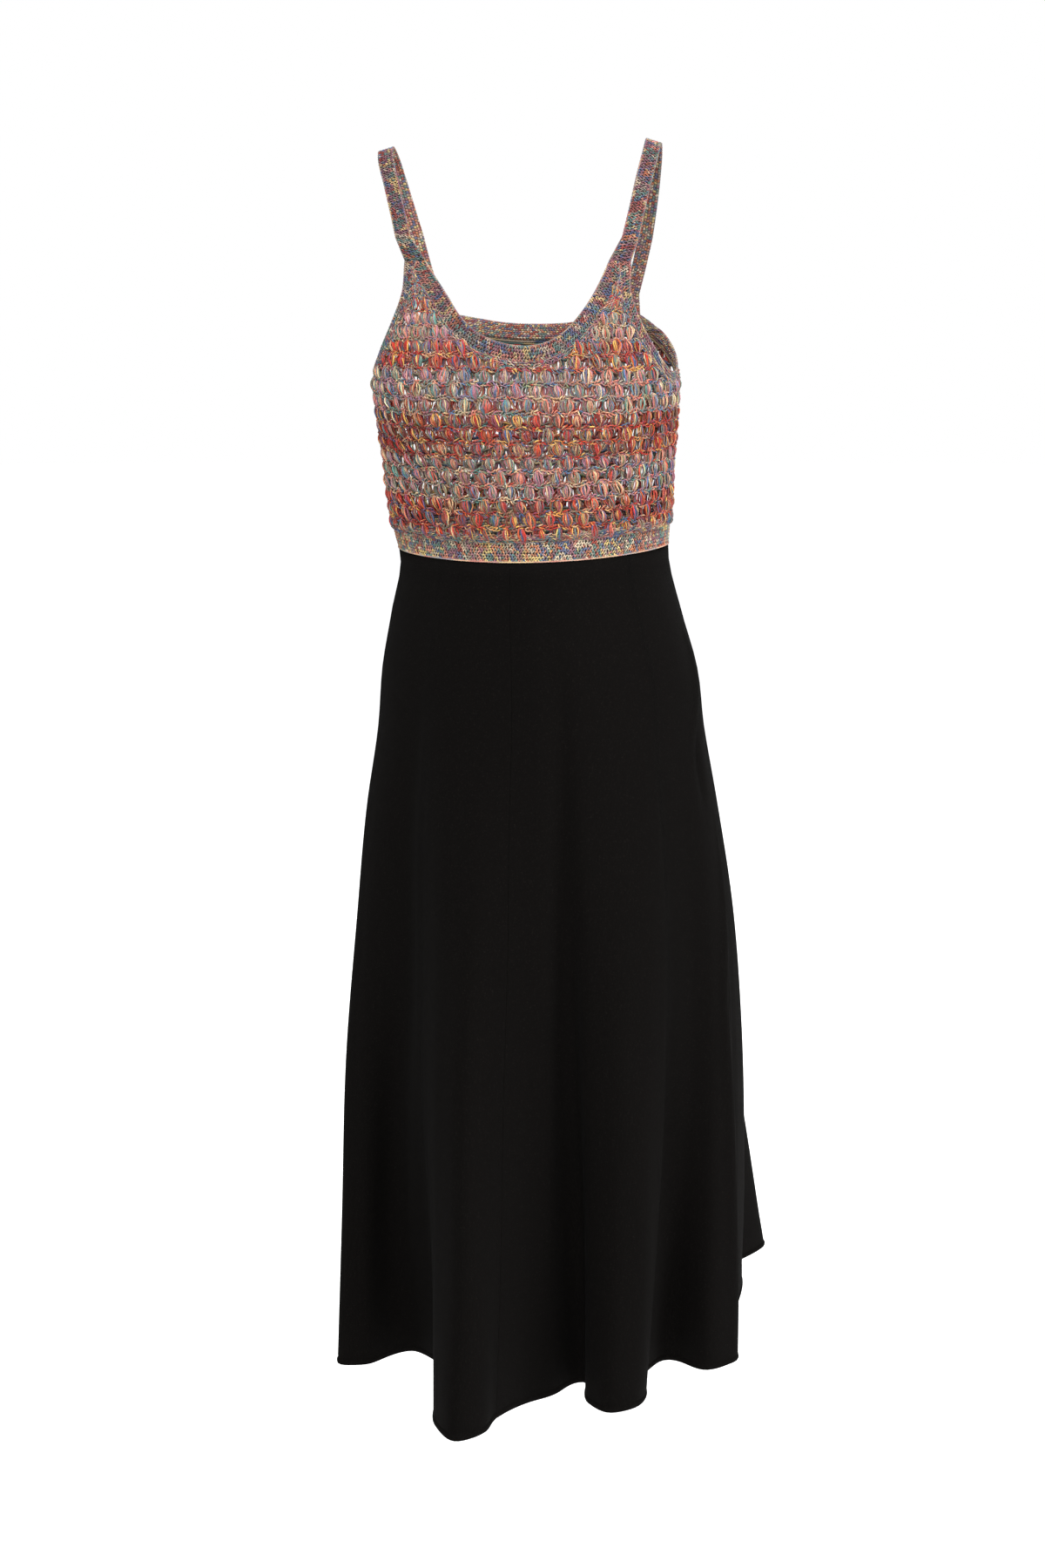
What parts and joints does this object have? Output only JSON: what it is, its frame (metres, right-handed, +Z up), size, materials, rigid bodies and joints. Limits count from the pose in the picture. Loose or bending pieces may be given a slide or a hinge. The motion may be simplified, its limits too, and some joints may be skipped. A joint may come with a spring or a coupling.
{
  "type": "knit maxi dress",
  "caption": "Sleeveless worn dress on two straps: openwork crocheted puff-stitch bodice with edging bands over a long, flared plain knit skirt in soft folds.",
  "frame": {"origin": "midway between the undersides of the two shoulder straps where they cross the wearer's shoulders, which carry the dress", "axes": "+Z up along the standing wearer, -Y is the front of the dress, +X is the wearer's left side"},
  "size_m": [0.4443, 0.5003, 1.2505],
  "materials": {
    "puff_yarn": "space-dyed many-coloured cotton yarn, crocheted in puff stitches, matt with a faint sheen",
    "band_yarn": "the same space-dyed yarn in small close crochet stitches, matt",
    "skirt_knit": "fine smooth near-black jersey knit, matt with a soft sheen"
  },
  "bodies": {
    "root": {"bodice_front": "puff_yarn", "bodice_back": "puff_yarn", "neck_band_front": "band_yarn", "neck_band_back": "band_yarn", "armhole_band_left": "band_yarn", "armhole_band_right": "band_yarn", "waistband_front": "band_yarn", "waistband_back": "band_yarn", "strap_left": "band_yarn", "strap_right": "band_yarn", "skirt_front_left": "skirt_knit", "skirt_front_right": "skirt_knit", "skirt_back": "skirt_knit"}
  },
  "joints": []
}
